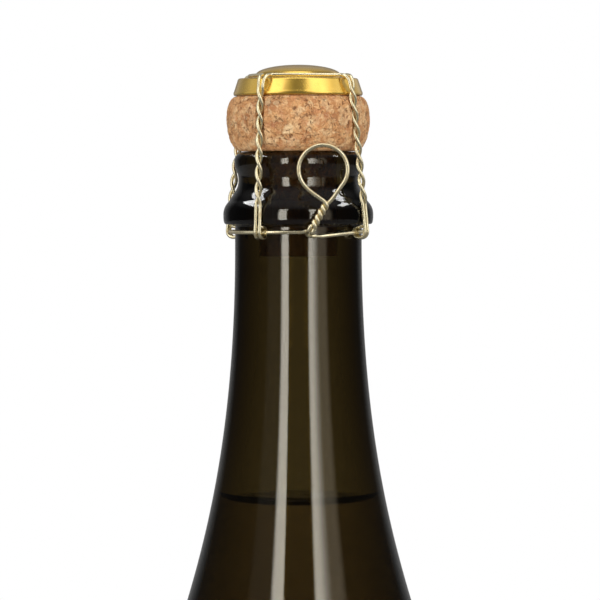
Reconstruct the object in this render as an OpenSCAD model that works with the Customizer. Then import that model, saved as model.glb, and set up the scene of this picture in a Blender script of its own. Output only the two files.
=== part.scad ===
// Corked and wired 750 ml bottle for sparkling wine.
// Millimetres. The origin is the centre of the foot on the table and Z points up the bottle.
// Depths are counted down from the lip and rises are counted up from the lip.
// Turn angles are counted from the front, which is minus Y, towards plus X.

/* [Glass] */
// Height of the glass from the table to the lip
bottle_h = 300; // [294:1:306]
// Outside diameter of the straight barrel
barrel_d = 88.5; // [86:0.5:91]
// Height at which the barrel starts to curve in
shoulder_z = 109; // [104:1:118]
// Thickness of the glass in the barrel
wall_t = 4.9; // [4.4:0.1:5.2]
// Outside diameter of the neck right under the ring
neck_d = 28.72; // [28.5:0.02:28.8]
// Diameter of the rounded lip
lip_d = 29; // [28.8:0.1:29.2]
// Diameter of the ring that the cage holds on to
ring_d = 34; // [33.6:0.1:34.2]
// Diameter of the mouth and of the upper bore
bore_d = 17.8; // [17.4:0.1:18.2]
// Rise of the hollow under the bottle
punt_h = 36; // [30:1:40]
// Inner radius of the flat foot ring
foot_r = 32.5; // [31:0.5:33.5]
// Width of the flat foot ring
foot_w = 3; // [2:0.5:4]
// Height of the rounded heel
heel_h = 11; // [9:1:14]

/* [Wine] */
// Depth of the wine's surface under the lip
fill_depth = 80; // [72:1:88]
// Rise of the wine's edge at the wall
meniscus_h = 2.2; // [1.2:0.1:2.4]

/* [Cork] */
// Widest diameter of the cork's head
head_d = 32.6; // [32.2:0.1:32.8]
// Length of the shank in the bore
shank_l = 23.6; // [21:0.1:25]
// Thickness of each natural cork disc
disc_t = 5.5; // [4:0.1:6.5]

/* [Cap plaque] */
// Diameter over the plaque's rim
rim_d = 29.4; // [29:0.1:29.6]
// Thickness of the plaque's metal
plaque_t = 0.3; // [0.2:0.02:0.36]
// Rise of the domed centre over the shelf
dome_h = 3.1; // [2.4:0.1:3.6]

/* [Cage] */
// Diameter of the frame wire
strand_d = 0.78; // [0.7:0.01:0.82]
// Half turns in each twisted leg
leg_half_turns = 7; // [5:1:8]
// Turn angle of the front left leg's hook
leg_turn = -31; // [-34:1:-28]
// Turn of the crown against the hooks
crown_turn = -5; // [-6:1:0]
// How far each corner of the crown stands off its square place, to either side in turn
crown_skew = 3.8; // [0:0.2:4.4]
// Diameter of the belt wire
belt_wire_d = 0.92; // [0.84:0.01:0.94]
// Half turns in the shank of the twist loop
loop_half_turns = 5; // [3:1:6]
// Sideways lean of the twist loop's shank
loop_lean = 33; // [28:1:36]
// Length of the twist loop's shank
loop_shank_l = 7.2; // [6.6:0.1:7.6]
// Outside diameter of the twist loop's eye
eye_d = 11.8; // [11:0.1:12]

/* [Hidden] */
$fn = 96;
lip_z = bottle_h;
barrel_r = barrel_d / 2;
neck_r = neck_d / 2;
lip_r = lip_d / 2;
ring_r = ring_d / 2;
bore_r = bore_d / 2;
// Running clearance between the cork and the bore
bore_fit = 0.05;
// Clearance where metal, cork and glass rest against each other
seat_gap = 0.1;
// Clearance between the wine and the glass
wine_gap = 0.02;
// Depth of the neck under the lip where the shoulder curve starts
neck_depth = 20.6;
// Depth of the bore before the inside widens
bore_depth = 27;
// Thickness of the glass where the inside starts to widen
bore_wall = neck_r - bore_r;
// Height of the shoulder curve, and the lengths of its upper and lower handles
shoulder_h = bottle_h - neck_depth - shoulder_z;
upper_handle = 0.53 * shoulder_h;
lower_handle = 0.4025 * shoulder_h;
// Thickness of the glass in the floor of the bottle
floor_t = 6.5;

head_r = head_d / 2;
head_top = 16.25;
rim_r = rim_d / 2;
rim_low = 12.7;
shelf_top = head_top + 0.05 + plaque_t;
dome_r = 10.3;
waist_r = 13.65;

strand_r = strand_d / 2;
// Half the distance between the two strands of a leg
pair_half = strand_r + 0.09;
pair_r = pair_half + strand_r;
crown_z = shelf_top + strand_r + 0.22;
crown_mid_r = dome_r + strand_r + 0.12;
crown_corner_r = 13.8;
// The straight leg runs from beside the plaque's rim to beside the ring
leg_top = [rim_r + pair_r + 0.1, rim_low + 1.65];
leg_low = [ring_r + strand_r + 0.16, -15.2];
twist_low = -11.5;
// The back left leg leans further round than the others
back_left_turn = leg_turn + 270;
back_left_swing = 4.5;
// Half width, half height and middle of the eyelet that each leg ends in
hook_half = [1.48, 1.28];
hook_at = [neck_r + hook_half[0] + strand_r + seat_gap, -18.16];

belt_r = belt_wire_d / 2;
// The belt holds the inner side of the eyelets against the neck
belt_ring_r = neck_r + 2 * strand_r + belt_r + 0.24;
belt_rise = -18.1;
belt_half = belt_r + 0.04;
// Turn angles where the belt's right tail and left tail begin
belt_first = 20;
belt_last = 362;
belt_droop = 0.9;
stub_x = 2.6;
stub_depth = -18.05;
stub_start = ring_r + 0.3;
// Gap between the belt's tails and the stub that turns in front of them
tail_gap = 0.1;
loop_y = ring_r + 0.3 + belt_half + belt_r;
stub_end = loop_y + 0.35;
// The shank of the loop starts clear of the stub that it folds about
shank_start = belt_half + belt_r + 0.3;
eye_r = eye_d / 2 - belt_r;
wire_sides = 6;

// Point on a cubic curve between a and d with handles at b and c
function curve_at(a, b, c, d, t) =
    pow(1 - t, 3) * a + 3 * t * pow(1 - t, 2) * b + 3 * t * t * (1 - t) * c + pow(t, 3) * d;

// Points along such a curve, without its first point
function curve(a, b, c, d, steps) = [for (i = [1 : steps]) curve_at(a, b, c, d, i / steps)];

// The list of points in the opposite order
function reversed(list) = [for (i = [len(list) - 1 : -1 : 0]) list[i]];

function unit(v) = v / norm(v);

// Direction of a path at point i
function heading(path, i) =
    let (last = len(path) - 1)
    unit(path[min(i + 1, last)] - path[max(i - 1, 0)]);

// The part of v that stands square to the direction along
function squared_to(v, along) = unit(v - (v * along) * along);

// Normals that follow the path without twisting about it
function carried_normals(path, first) =
    [for (i = 0, n = squared_to(first, heading(path, 0));
          i < len(path);
          i = i + 1, n = i < len(path) ? squared_to(n, heading(path, i)) : n) n];

// A round wire of radius r along a path of points
module wire(path, r, first) {
    normals = carried_normals(path, first);
    last = len(path) - 1;
    rings = [for (i = [0 : last], s = [0 : wire_sides - 1])
        let (side = cross(heading(path, i), normals[i]), a = 360 * s / wire_sides)
        path[i] + r * (cos(a) * normals[i] + sin(a) * side)];
    skin = [for (i = [0 : last - 1], s = [0 : wire_sides - 1])
        let (k = i * wire_sides, next = (s + 1) % wire_sides)
        [k + s, k + wire_sides + s, k + wire_sides + next, k + next]];
    lids = [[for (s = [0 : wire_sides - 1]) s],
            [for (s = [wire_sides - 1 : -1 : 0]) last * wire_sides + s]];
    polyhedron(points = rings, faces = concat(skin, lids), convexity = 8);
}

// Position at turn angle a, radius r and rise z over the lip
function around(a, r, z) = [r * sin(a), -r * cos(a), lip_z + z];

// A round rod of radius r from point p to point q
module rod_between(p, q, r) {
    along = q - p;
    translate(p)
    rotate([0, acos(along[2] / norm(along)), atan2(along[1], along[0])])
    cylinder(h = norm(along), r = r);
}

// How far down its straight stretch a leg is at rise z, from 0 at the crown to 1 at the hook
function leg_share(z) = (leg_top[1] - z) / (leg_top[1] - leg_low[1]);

// Turn of a leg's top against its hook, where the crown is turned and a little out of square
function top_turn(turn) =
    crown_turn + (turn == leg_turn || turn == leg_turn + 180 ? crown_skew : -crown_skew);

// Turn angle of a leg at rise z
function leg_angle(turn, z) =
    let (share = max(0, min(1, leg_share(z))))
    turn + top_turn(turn) * (1 - share) + (turn == back_left_turn ? back_left_swing * share : 0);

// Point on the middle line of a leg's straight stretch at rise z
function leg_point(turn, z) =
    around(leg_angle(turn, z), leg_top[0] + (leg_low[0] - leg_top[0]) * leg_share(z), z);

// Outside radius and height along the shoulder, from the neck to the barrel
function shoulder_point(t) =
    curve_at([neck_r, lip_z - neck_depth],
             [neck_r, lip_z - neck_depth - upper_handle],
             [barrel_r, shoulder_z + lower_handle],
             [barrel_r, shoulder_z], t);

// Thickness of the glass along the shoulder, measured level
function shoulder_wall(t) = bore_wall + (wall_t - bore_wall) * min(1, 1.6 * t);

// Inside radius and height along the shoulder
function inner_point(t) = shoulder_point(t) - [shoulder_wall(t), 0];

shoulder_steps = 26;
// First step of the shoulder curve that lies below the bore
inner_start = 2;

function foot_outside() = foot_r + foot_w;

// Outside of the finish from the mouth down to the neck
function finish_outline() = concat(
    [[bore_r + 0.9, lip_z]],
    [for (a = [90 : -15 : 0]) [lip_r - 2.1 + 2.1 * cos(a), lip_z - 2.1 + 2.1 * sin(a)]],
    curve([lip_r, lip_z - 2.1], [lip_r, lip_z - 4.2], [lip_r - 0.95, lip_z - 4.6],
          [lip_r - 0.95, lip_z - 6.2], 6),
    curve([lip_r - 0.95, lip_z - 6.2], [lip_r - 0.95, lip_z - 8.6], [lip_r + 0.1, lip_z - 9.1],
          [ring_r - 1.35, lip_z - 11.1], 7),
    curve([ring_r - 1.35, lip_z - 11.1], [ring_r - 0.5, lip_z - 12], [ring_r, lip_z - 12.9],
          [ring_r, lip_z - 14.2], 7),
    curve([ring_r, lip_z - 14.2], [ring_r, lip_z - 15.6], [ring_r - 0.1, lip_z - 16.4],
          [ring_r - 0.7, lip_z - 16.4], 5),
    [[neck_r + 0.6, lip_z - 16.4]],
    curve([neck_r + 0.6, lip_z - 16.4], [neck_r + 0.2, lip_z - 16.4], [neck_r, lip_z - 16.6],
          [neck_r, lip_z - 17], 3));

// Outside of the hollow under the bottle, from the foot ring to the top of the hollow
function punt_outline(lift, shrink) =
    concat([[foot_r - shrink, lift]],
           curve([foot_r - shrink, lift], [foot_r - shrink - 2.5, lift + 0.55 * punt_h],
                 [0.62 * foot_r, lift + punt_h], [0, lift + punt_h], 16));

// Rounded heel, from the foot ring up to the barrel
function heel_outline(inset, lift, edge) =
    curve([edge, lift], [edge + 5.4, lift], [barrel_r - inset, lift + 0.35 * heel_h],
          [barrel_r - inset, lift + heel_h], 10);

// Inside of the bottle from the bore down to the middle of the floor
function cavity_outline(shrink) = concat(
    [for (i = [inner_start : shoulder_steps]) inner_point(i / shoulder_steps) - [shrink, 0]],
    reversed(concat([[foot_outside() - 2, floor_t + shrink]],
                    heel_outline(wall_t + shrink, floor_t + shrink, foot_outside() - 2))),
    reversed([[foot_outside() - 2.2, floor_t + shrink]]),
    punt_outline(floor_t + shrink, 0.4));

module glass_bottle()
color([0.16, 0.13, 0.07, 0.6])
rotate_extrude()
polygon(concat(
    [[bore_r, lip_z - bore_depth], [bore_r, lip_z - 0.9]],
    [for (a = [180 : -30 : 120]) [bore_r + 0.9 + 0.9 * cos(a), lip_z - 0.9 + 0.9 * sin(a)]],
    finish_outline(),
    [for (i = [0 : shoulder_steps]) shoulder_point(i / shoulder_steps)],
    reversed(concat([[foot_outside(), 0]], heel_outline(0, 0, foot_outside()))),
    punt_outline(0, 0),
    reversed(cavity_outline(0))));

// Height of the wine's surface
level_z = bottle_h - fill_depth;

// Inside radius at height z on the shoulder
inside_table = [for (i = [shoulder_steps : -1 : inner_start])
    [inner_point(i / shoulder_steps)[1], inner_point(i / shoulder_steps)[0]]];
edge_r = lookup(level_z + meniscus_h, inside_table) - wine_gap;

module wine()
color([0.85, 0.66, 0.2, 0.6])
rotate_extrude()
polygon(concat(
    [[0, level_z], [edge_r - 3, level_z]],
    curve([edge_r - 3, level_z], [edge_r - 1.2, level_z], [edge_r - 0.2, level_z + 0.3 * meniscus_h],
          [edge_r, level_z + meniscus_h], 5),
    [for (p = cavity_outline(wine_gap)) if (p[1] < level_z + meniscus_h - 0.3) p]));

// Outline of the cork's head from its top down to the shank
function head_outline() = concat(
    [[0, head_top], [waist_r - plaque_t - 0.6, head_top]],
    curve([waist_r - plaque_t - 0.6, head_top], [waist_r - plaque_t - 0.2, head_top],
          [waist_r - plaque_t - 0.1, head_top - 0.2],
          [waist_r - plaque_t - 0.05, head_top - 0.5], 3),
    [[rim_r - plaque_t - 0.5, rim_low + 0.3], [rim_r - plaque_t - 0.45, rim_low - 0.15]],
    curve([rim_r - plaque_t - 0.45, rim_low - 0.15], [rim_r + 0.7, rim_low - 0.2],
          [head_r, rim_low - 2.1], [head_r, 7.4], 9),
    curve([head_r, 7.4], [head_r, 3.8], [head_r - 1.1, seat_gap + 0.1],
          [head_r - 3.4, seat_gap], 9),
    [[bore_r - bore_fit, seat_gap]]);

module cork_body()
color([0.78, 0.58, 0.4])
difference() {
    translate([0, 0, lip_z])
    rotate_extrude()
    polygon(concat(head_outline(),
                   [[bore_r - bore_fit, 2 * disc_t - shank_l], [0, 2 * disc_t - shank_l]]));
    // grooves that the legs press into the head
    for (k = [0 : 3])
    rod_between(leg_point(leg_turn + 90 * k, rim_low + 4), leg_point(leg_turn + 90 * k, -4),
                pair_r + 0.14);
}

module cork_disc(low)
color([0.83, 0.66, 0.46])
translate([0, 0, lip_z + low])
cylinder(h = disc_t, r = bore_r - bore_fit);

module cork_disc_upper() { cork_disc(disc_t - shank_l); }

module cork_disc_lower() { cork_disc(-shank_l); }

// Outer face of the plaque from the middle of its dome to the edge of its rim
function plaque_outline(inward) = concat(
    [[0, shelf_top + dome_h - inward]],
    curve([0, shelf_top + dome_h - inward], [5, shelf_top + dome_h - inward],
          [8.6, shelf_top + 0.72 * dome_h - inward],
          [dome_r - 0.9 - 0.7 * inward, shelf_top + 0.4 * dome_h - 0.6 * inward], 8),
    curve([dome_r - 0.9 - 0.7 * inward, shelf_top + 0.4 * dome_h - 0.6 * inward],
          [dome_r - 0.35 - inward, shelf_top + 0.18 * dome_h - 0.8 * inward],
          [dome_r - 0.2 - inward, shelf_top - inward],
          [dome_r + 0.3 - inward, shelf_top - inward], 4),
    [[waist_r - 0.5 - 0.4 * inward, shelf_top - inward]],
    curve([waist_r - 0.5 - 0.4 * inward, shelf_top - inward],
          [waist_r - 0.2 - 0.7 * inward, shelf_top - inward],
          [waist_r - inward, shelf_top - 0.2 - inward],
          [waist_r + 0.05 - inward, shelf_top - 0.5 - inward], 4),
    [[rim_r - 0.25 - inward, rim_low + 0.5], [rim_r - inward, rim_low]]);

module cap_plaque()
color([0.86, 0.68, 0.22])
translate([0, 0, lip_z])
rotate_extrude()
polygon(concat(plaque_outline(0), reversed(plaque_outline(plaque_t))));

// The crown part of a strand, from the middle of a crown side to the corner over the leg.
// side is 1 for the strand that comes round from larger turn angles and -1 for the other.
function crown_part(turn, side) =
    [for (k = [0 : 6])
        let (share = 1 - k / 6.5, r = crown_mid_r / cos(38.5 * (1 - share)),
             end_gap = k == 0 ? 0.2 : 0,
             corner = crown_turn * share + top_turn(turn) * (1 - share))
        around(turn + corner + side * (45 * share - end_gap), r, crown_z)];

// Strand position where the middle of the leg is at radius r and rise z
function pair_point(turn, r, z, phase, half = pair_half) =
    let (a = leg_angle(turn, z), out = half * sin(phase), across = half * cos(phase))
    around(a, r + out, z) + across * [cos(a), sin(a), 0];

function shoulder_part(turn, side) =
    [for (t = [0.2 : 0.2 : 0.8])
        let (p = curve_at([crown_corner_r, crown_z], [leg_top[0] - 0.75, crown_z - 0.1],
                          [leg_top[0] - 0.12, leg_top[1] + 1.8], leg_top, t))
        pair_point(turn, p[0], p[1], side > 0 ? 0 : 180)];

function twist_part(turn, side) =
    let (steps = 5 * leg_half_turns)
    [for (i = [0 : steps])
        let (z = leg_top[1] + (twist_low - leg_top[1]) * i / steps,
             r = leg_top[0] + (leg_low[0] - leg_top[0]) * leg_share(z))
        pair_point(turn, r, z, (side > 0 ? 0 : 180) - 36 * i)];

// The strand's side of the leg has swapped if the number of half turns is odd
function low_phase(side) = (side > 0 ? 0 : 180) + 180 * leg_half_turns;

// Point of the eyelet's middle line, from its outer side at 0 under the belt to its top at 270
function eyelet(a) = hook_at + [hook_half[0] * cos(a), -hook_half[1] * sin(a)];

function hook_part(turn, side) = concat(
    [pair_point(turn, leg_low[0], leg_low[1], low_phase(side))],
    [for (t = [0.35, 0.7])
        let (p = curve_at(leg_low, leg_low - [0, 1.2], eyelet(0) + [0, 1.1], eyelet(0), t))
        pair_point(turn, p[0], p[1], low_phase(side))],
    [for (a = [0 : 27 : 270])
        pair_point(turn, eyelet(a)[0], eyelet(a)[1], low_phase(side))],
    [pair_point(turn, eyelet(286)[0], eyelet(286)[1], low_phase(side), 0.68 * pair_half)]);

function strand(turn, side) =
    concat(crown_part(turn, side), shoulder_part(turn, side), twist_part(turn, side),
           hook_part(turn, side));

// One leg is a single hairpin whose closed end hooks round the belt
module leg(turn)
color([0.82, 0.79, 0.66])
wire(concat(strand(turn, 1), reversed(strand(turn, -1))), strand_r, [0, 0, 1]);

module leg_front_left() { leg(leg_turn); }

module leg_front_right() { leg(leg_turn + 90); }

module leg_back_right() { leg(leg_turn + 180); }

module leg_back_left() { leg(back_left_turn); }

// The belt is drawn in between the hooks, and hangs lower on the right of the twist
function belt_point(a) =
    around(a, belt_ring_r - 0.55 * pow(sin(2 * (a - leg_turn)), 2),
           belt_rise - belt_droop * pow(max(0, 1 - abs(a - belt_first) / 40), 1.3));

// Direction of the belt at turn angle a
function belt_heading(a) = [cos(a), sin(a), 0];

// Where a tail meets the stub, on its right for side 1 and on its left for side -1
function tail_end(side) =
    [stub_x + side * belt_half, tail_gap - stub_start, lip_z + stub_depth];

// The right tail curls down and under the left side of the stub
function right_tail() =
    let (end = tail_end(-1), low = end + [1, 1.2, -belt_droop], from = belt_point(belt_first))
    concat(curve(from, from - 1.2 * belt_heading(belt_first), low + [1, 0, 0], low, 4),
           curve(low, low - [1.5, 0.1, 0], end + [-0.25, 1, -0.1], end + [0, 0.3, 0], 7),
           [end]);

// The left tail passes behind that curl to the right side of the stub
function left_tail() =
    let (end = tail_end(1), from = belt_point(belt_last))
    concat([from],
           curve(from, from + 1.5 * belt_heading(belt_last) + [0, 0, 0.3], end + [0, 1.6, 0.6],
                 end + [0, 0.3, 0], 8),
           [end]);

module belt_wire()
color([0.84, 0.81, 0.68])
wire(concat(reversed(right_tail()),
            [for (a = [belt_first : 6 : belt_last - 3]) belt_point(a)],
            left_tail()),
     belt_r, [0, 0, 1]);

// The belt's two tails, pinched together as they leave the belt
module twist_stub()
color([0.84, 0.81, 0.68])
for (side = [-1, 1])
wire([for (i = [0 : 3])
         let (a = loop_lean * i / 3)
         [stub_x + side * 0.76 * belt_r * cos(a),
          -stub_start - (stub_end - stub_start) * i / 3,
          lip_z + stub_depth - side * 0.76 * belt_r * sin(a)]],
     belt_r, [0, 0, 1]);

// Middle line of the shank, s mm from the fold
function shank_at(s) =
    [stub_x + s * sin(loop_lean), -loop_y, lip_z + stub_depth + s * cos(loop_lean)];

function shank_strand(side) =
    let (steps = 5 * loop_half_turns)
    [for (i = [0 : steps])
        let (s = shank_start + (loop_shank_l - shank_start) * i / steps,
             a = 36 * i + (side > 0 ? 0 : 180))
        shank_at(s) + belt_half * cos(a) * [cos(loop_lean), 0, -sin(loop_lean)]
                    + belt_half * sin(a) * [0, -1, 0]];

// The eye stands over the end of the shank, and its wire leaves the shank at 45 degrees each way
eye_at = shank_at(loop_shank_l) + [-1.07, 0, sqrt(2) * eye_r];

function eye_ring() =
    [for (a = [-39 : 14.5 : 221]) eye_at + eye_r * [cos(a), 0, sin(a)]];

// One wire goes up the shank, round the eye and down the shank again
module twist_loop()
color([0.84, 0.81, 0.68])
wire(loop_half_turns % 2 == 0
         ? concat(shank_strand(1), eye_ring(), reversed(shank_strand(-1)))
         : concat(shank_strand(-1), eye_ring(), reversed(shank_strand(1))),
     belt_r, [0, 1, 0]);

glass_bottle();
wine();
cork_body();
cork_disc_upper();
cork_disc_lower();
cap_plaque();
leg_front_left();
leg_front_right();
leg_back_right();
leg_back_left();
belt_wire();
twist_stub();
twist_loop();
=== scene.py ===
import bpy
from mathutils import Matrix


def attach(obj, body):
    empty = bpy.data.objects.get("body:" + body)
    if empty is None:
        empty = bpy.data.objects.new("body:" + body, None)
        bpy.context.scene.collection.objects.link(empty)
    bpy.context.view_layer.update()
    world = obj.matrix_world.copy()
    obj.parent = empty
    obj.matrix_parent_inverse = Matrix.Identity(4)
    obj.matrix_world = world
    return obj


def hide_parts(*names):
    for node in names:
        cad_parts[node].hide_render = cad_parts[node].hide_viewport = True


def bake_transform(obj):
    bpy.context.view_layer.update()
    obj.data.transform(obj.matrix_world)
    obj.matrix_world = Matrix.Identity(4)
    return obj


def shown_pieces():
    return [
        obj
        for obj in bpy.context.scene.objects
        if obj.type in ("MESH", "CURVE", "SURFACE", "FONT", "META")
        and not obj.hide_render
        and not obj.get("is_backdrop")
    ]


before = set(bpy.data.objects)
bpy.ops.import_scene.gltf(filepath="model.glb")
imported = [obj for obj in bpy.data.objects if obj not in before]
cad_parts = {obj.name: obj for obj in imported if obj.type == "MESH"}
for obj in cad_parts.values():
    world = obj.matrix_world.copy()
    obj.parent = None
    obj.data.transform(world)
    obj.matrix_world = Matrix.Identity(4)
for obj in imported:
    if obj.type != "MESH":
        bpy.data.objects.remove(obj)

"""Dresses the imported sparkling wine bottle: glass, wine, cork, cap plaque and wire cage.

Sizes inside the classes are millimetres, and a mesh is written in metres. Turn angles are
degrees from the front, which is minus Y, towards plus X. A rise is counted up from the lip.
"""

import logging
import math
from dataclasses import dataclass, field
from enum import Enum

import bmesh
import bpy
import numpy as np
from mathutils import Matrix, Vector

Colour = tuple[float, float, float, float]
Socket = bpy.types.NodeSocket

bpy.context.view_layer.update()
MM = 0.001
LIP_Z = 300.0
WARM: Colour = (1.0, 0.945, 0.81, 1.0)
AMBER: Colour = (1.0, 0.86, 0.62, 1.0)

log = logging.getLogger("bottle")


class LegPlace(Enum):
    """The four legs of the cage, by the quarter of the cork that each one holds."""

    FRONT_LEFT = 0
    FRONT_RIGHT = 1
    BACK_RIGHT = 2
    BACK_LEFT = 3

    @property
    def node(self) -> str:
        """Name of the CAD node that this leg stands for."""
        return "leg_" + self.name.lower()


class Strand(Enum):
    """The two strands of a twisted pair of wires."""

    FIRST = 1
    SECOND = -1

    @property
    def phase(self) -> float:
        """Angle in degrees at which the strand starts round the pair's middle line."""
        return 0.0 if self is Strand.FIRST else 180.0


# Shapes


def unit(v: np.ndarray) -> np.ndarray:
    """Each vector of the array v divided by its length."""
    return v / np.linalg.norm(v, axis=-1, keepdims=True)


def outward(turn: np.ndarray | float) -> np.ndarray:
    """Level direction away from the bottle's axis at a turn angle."""
    a = np.radians(np.asarray(turn, float))
    return np.stack([np.sin(a), -np.cos(a), np.zeros_like(a)], -1)


def across(turn: np.ndarray | float) -> np.ndarray:
    """Level direction along a circle round the axis at a turn angle."""
    a = np.radians(np.asarray(turn, float))
    return np.stack([np.cos(a), np.sin(a), np.zeros_like(a)], -1)


def around(turn: np.ndarray | float, radius: np.ndarray | float,
           rise: np.ndarray | float) -> np.ndarray:
    """Points at turn angles, radii and rises over the lip.

    The point is the outward direction times the radius, lifted to the lip's height plus rise.

    Args:
        turn: Turn angles in degrees.
        radius: Distances from the axis.
        rise: Heights over the lip.

    Returns:
        Array of points, one for each set of values.
    """
    turn, radius, rise = np.broadcast_arrays(*(np.asarray(x, float) for x in (turn, radius, rise)))
    return outward(turn) * radius[..., None] + np.array([0, 0, 1.0]) * (LIP_Z + rise)[..., None]


def cubic(a: object, b: object, c: object, d: object, t: np.ndarray) -> np.ndarray:
    """Points on the Bezier cubic from a to d with handles b and c.

    The weights are (1-t)^3, 3t(1-t)^2, 3t^2(1-t) and t^3.

    Args:
        a: Start point.
        b: First handle.
        c: Second handle.
        d: End point.
        t: Shares of the way, from 0 to 1.

    Returns:
        Array with one point for each share.
    """
    a, b, c, d = (np.asarray(p, float) for p in (a, b, c, d))
    t = np.asarray(t, float)[:, None]
    return (1 - t) ** 3 * a + 3 * t * (1 - t) ** 2 * b + 3 * t * t * (1 - t) * c + t ** 3 * d


def bend(a: object, b: object, c: object, d: object, steps: int) -> np.ndarray:
    """Points along a cubic without its first one, so that curves join end to end."""
    return cubic(a, b, c, d, np.arange(1, steps + 1) / steps)


def line(a: object, b: object, steps: int) -> np.ndarray:
    """Evenly spaced points from a to b, without a."""
    a, b = np.asarray(a, float), np.asarray(b, float)
    return a + (b - a) * (np.arange(1, steps + 1) / steps)[:, None]


def revolve(outline: np.ndarray, segments: int) -> np.ndarray:
    """Surface of revolution of an outline about the bottle's axis.

    Point (i, j) stands at the i-th radius and height of the outline, at j parts of a full turn.

    Args:
        outline: Radius and height of each row.
        segments: Number of columns round the axis.

    Returns:
        Grid of points, rows by columns by three.
    """
    turn = np.arange(segments) * 360 / segments
    return around(turn[None], outline[:, :1], outline[:, 1:] - LIP_Z)


def softly_lower(a: np.ndarray, b: np.ndarray, width: float) -> np.ndarray:
    """The smaller of a and b, rounded over width where the two cross."""
    return -width * np.logaddexp(-a / width, -b / width)


def settle(path: np.ndarray, spacing: float, passes: int) -> np.ndarray:
    """Spaces a wire's points evenly and rounds its corners.

    The points are taken again at equal lengths along the wire. In each pass a point then moves to
    a quarter of each neighbour plus half of itself, and the two ends stay.

    Args:
        path: Rows of a point and a guide direction, six numbers each.
        spacing: Distance between the new points.
        passes: Number of rounding passes.

    Returns:
        The new rows, six numbers each.
    """
    steps = np.linalg.norm(np.diff(path[:, :3], axis=0), axis=1)
    path = path[np.concatenate([[True], steps > 1e-6])]
    length = np.concatenate([[0], np.cumsum(steps[steps > 1e-6])])
    at = np.linspace(0, length[-1], int(length[-1] / spacing) + 2)
    path = np.stack([np.interp(at, length, path[:, k]) for k in range(6)], -1)
    for _ in range(passes):
        path[1:-1] = (path[:-2] + 2 * path[1:-1] + path[2:]) / 4
    return path


def tube(path: np.ndarray, radius: float, sides: int) -> np.ndarray:
    """Round wire along a path, closed at both ends.

    A ring is the path's point plus the radius times the cosine of an angle along the normal and
    its sine along the other normal. The normal is the guide direction squared to the wire.

    Args:
        path: Rows of a point and a guide direction, six numbers each.
        radius: Radius of the wire.
        sides: Number of points in a ring.

    Returns:
        Grid of points, rings by sides by three, with a point at each end.
    """
    points, guide = path[:, :3], path[:, 3:]
    along = unit(np.gradient(points, axis=0))
    normal = unit(guide - np.sum(guide * along, -1, keepdims=True) * along)
    other = np.cross(along, normal)
    a = (np.arange(sides) * 2 * np.pi / sides)[None, :, None]
    rings = points[:, None] + radius * (np.cos(a) * normal[:, None] + np.sin(a) * other[:, None])
    first, last = (np.broadcast_to(points[k], (1, sides, 3)) for k in (0, -1))
    return np.concatenate([first, rings, last])


def cells(points: np.ndarray, seeds: np.ndarray) -> tuple[np.ndarray, np.ndarray]:
    """Nearest seed of each point, and how much nearer it is than the second nearest one.

    The squared distance is the squares of the two points less twice their product.

    Args:
        points: Array of points.
        seeds: Array of cell centres.

    Returns:
        Number of the nearest seed, and the difference of the two least distances.
    """
    nearest, gap = [], []
    for part in np.array_split(points, 24):
        square = (part ** 2).sum(-1)[:, None] + (seeds ** 2).sum(-1) - 2 * part @ seeds.T
        pair = np.argpartition(square, 1, axis=1)[:, :2]
        d = np.sqrt(np.maximum(np.take_along_axis(square, pair, 1), 0))
        nearest.append(pair[np.arange(len(part)), d.argmin(1)])
        gap.append(np.abs(d[:, 1] - d[:, 0]))
    return np.concatenate(nearest), np.concatenate(gap)


def piece_from_grid(name: str, grid: np.ndarray, closed_rows: bool = False,
                    values: dict[str, np.ndarray] | None = None,
                    sharp_deg: float = 40.0) -> bpy.types.Object:
    """Makes an object of a grid of points that is closed from the last column to the first.

    Quad (i, j) joins points (i, j), (i, j+1), (i+1, j+1) and (i+1, j). The UV map holds the share
    round the row as U and the mean length down the columns, in millimetres, as V.

    Args:
        name: Name of the piece.
        grid: Points, rows by columns by three, in millimetres.
        closed_rows: Whether the last row joins the first one too.
        values: Named numbers for each point of the grid, kept as attributes.
        sharp_deg: Angle between faces from which an edge stays sharp.

    Returns:
        The new object, at the origin, with outward normals.
    """
    rows, columns = grid.shape[:2]
    i, j = np.meshgrid(np.arange(rows if closed_rows else rows - 1), np.arange(columns),
                       indexing="ij")
    i, j = i.ravel(), j.ravel()
    corner_i = np.stack([i, i, i + 1, i + 1], -1).ravel()
    corner_j = np.stack([j, j + 1, j + 1, j], -1).ravel()
    steps = np.linalg.norm(np.diff(grid, axis=0), axis=-1).mean(1)
    length = np.concatenate([[0], np.cumsum(steps), [steps.sum()]])

    mesh = bpy.data.meshes.new(name)
    mesh.vertices.add(rows * columns)
    mesh.vertices.foreach_set("co", (grid * MM).astype(np.float32).ravel())
    mesh.loops.add(len(corner_i))
    mesh.loops.foreach_set("vertex_index", (corner_i % rows) * columns + corner_j % columns)
    mesh.polygons.add(len(i))
    mesh.polygons.foreach_set("loop_start", np.arange(len(i)) * 4)
    mesh.update(calc_edges=True)
    uv = np.stack([corner_j / columns, length[corner_i]], -1)
    mesh.uv_layers.new(name="UVMap").data.foreach_set("uv", uv.astype(np.float32).ravel())
    for key, value in (values or {}).items():
        attribute = mesh.attributes.new(key, "FLOAT", "POINT")
        attribute.data.foreach_set("value", value.astype(np.float32).ravel())

    shell = bmesh.new()
    shell.from_mesh(mesh)
    bmesh.ops.remove_doubles(shell, verts=shell.verts, dist=1e-7)
    bmesh.ops.recalc_face_normals(shell, faces=shell.faces)
    shell.to_mesh(mesh)
    shell.free()
    mesh.shade_smooth()
    mesh.set_sharp_from_angle(angle=math.radians(sharp_deg))
    made = bpy.data.objects.new(name, mesh)
    bpy.context.scene.collection.objects.link(made)
    return made


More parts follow.
